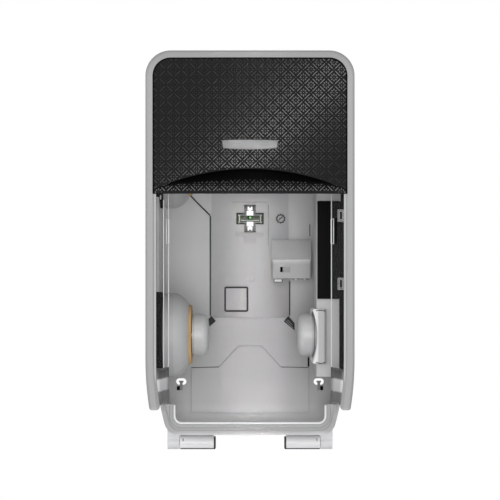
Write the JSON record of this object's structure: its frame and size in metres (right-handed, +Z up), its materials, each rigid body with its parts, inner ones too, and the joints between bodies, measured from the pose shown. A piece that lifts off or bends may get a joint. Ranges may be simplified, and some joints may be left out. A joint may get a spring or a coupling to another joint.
{
  "type": "wall mounted roll dispenser",
  "caption": "Wall mounted dispenser for stacked tissue rolls: grey surround with a dark lattice faceplate, open lower half, sprung roll hubs, level vial and a cover hinged at the foot.",
  "frame": {"origin": "middle of the wall face, on the wall plane, at mid width", "axes": "+X to the right as seen from the front, +Y into the wall, +Z up"},
  "size_m": [0.1824, 0.1801, 0.3668],
  "materials": {
    "grey_plastic": "fine satin moulded grey",
    "black_plastic": "black, embossed lattice on the faceplate",
    "label_grey": "bare grey",
    "clear_smoke": "clear smoke plastic",
    "steel": "plated",
    "dark_green": "dark green",
    "vial": "clear green",
    "mid_grey": "satin",
    "light_grey": "satin",
    "pale_grey": "satin",
    "white_plastic": "satin white",
    "black_rubber": "matt black foam rubber",
    "tan_ring": "tan felt"
  },
  "bodies": {
    "housing": {"back_housing": "grey_plastic", "box_screws": "steel", "column_screws": "steel", "column_seal": "black_rubber", "hinge_barrels": "white_plastic", "hinge_pins": "steel", "key_box": "grey_plastic", "level_frame": "dark_green", "level_vial": "vial", "lock_keeper": "steel", "lower_brake_ring": "tan_ring", "lower_cradle": "pale_grey", "lower_dome": "light_grey", "lower_dome_gasket": "black_rubber", "lower_left_axle": "steel", "lower_plunger_spring": "steel", "right_column": "light_grey", "square_plug": "grey_plastic", "upper_brake_ring": "tan_ring", "upper_cradle": "pale_grey", "upper_dome": "light_grey", "upper_dome_gasket": "black_rubber", "upper_left_axle": "steel", "upper_plunger_spring": "steel"},
    "cover": {"cover_shell": "grey_plastic", "faceplate": "black_plastic", "name_plate": "label_grey", "left_guard": "clear_smoke", "right_guard": "clear_smoke", "snap_clips": "clear_smoke", "lock_body": "steel", "lock_nut": "steel"},
    "lock": {"lock_plug": "steel", "lock_cam": "steel"},
    "slide": {"transfer_slide": "black_plastic"},
    "button": {"release_button": "mid_grey"},
    "lower_left_roller": {"lower_left_hub": "white_plastic"},
    "lower_plunger": {"lower_plunger": "white_plastic"},
    "lower_right_roller": {"lower_right_hub": "white_plastic"},
    "upper_left_roller": {"upper_left_hub": "white_plastic"},
    "upper_plunger": {"upper_plunger": "white_plastic"},
    "upper_right_roller": {"upper_right_hub": "white_plastic"}
  },
  "joints": [
    {"name": "cover_hinge", "type": "hinge", "parent": "housing", "child": "cover", "pos_m": [0, -0.009, -0.1863], "axis": [1, 0, 0], "range_deg": [0, 95]},
    {"name": "lock_turn", "type": "hinge", "parent": "cover", "child": "lock", "pos_m": [0, -0.032, 0.165], "axis": [0, 0, 1], "range_deg": [0, 90]},
    {"name": "slide_lift", "type": "slide", "parent": "housing", "child": "slide", "axis": [0, 0, 1], "range_m": [0, 0.006]},
    {"name": "button_slide", "type": "slide", "parent": "housing", "child": "button", "axis": [-1, 0, 0], "range_m": [0, 0.0025], "stiffness_N_per_m": 150, "springref_m": -0.003},
    {"name": "lower_left_spin", "type": "hinge", "parent": "housing", "child": "lower_left_roller", "pos_m": [-0.05, -0.088, -0.0781], "axis": [1, 0, 0], "continuous": true},
    {"name": "lower_plunger_push", "type": "slide", "parent": "housing", "child": "lower_plunger", "axis": [1, 0, 0], "range_m": [0, 0.006], "stiffness_N_per_m": 400, "springref_m": -0.01},
    {"name": "lower_right_spin", "type": "hinge", "parent": "lower_plunger", "child": "lower_right_roller", "pos_m": [0.05, -0.088, -0.0781], "axis": [1, 0, 0], "continuous": true},
    {"name": "upper_left_spin", "type": "hinge", "parent": "housing", "child": "upper_left_roller", "pos_m": [-0.05, -0.088, 0.077], "axis": [1, 0, 0], "continuous": true},
    {"name": "upper_plunger_push", "type": "slide", "parent": "housing", "child": "upper_plunger", "axis": [1, 0, 0], "range_m": [0, 0.006], "stiffness_N_per_m": 400, "springref_m": -0.01},
    {"name": "upper_right_spin", "type": "hinge", "parent": "upper_plunger", "child": "upper_right_roller", "pos_m": [0.05, -0.088, 0.077], "axis": [1, 0, 0], "continuous": true}
  ]
}
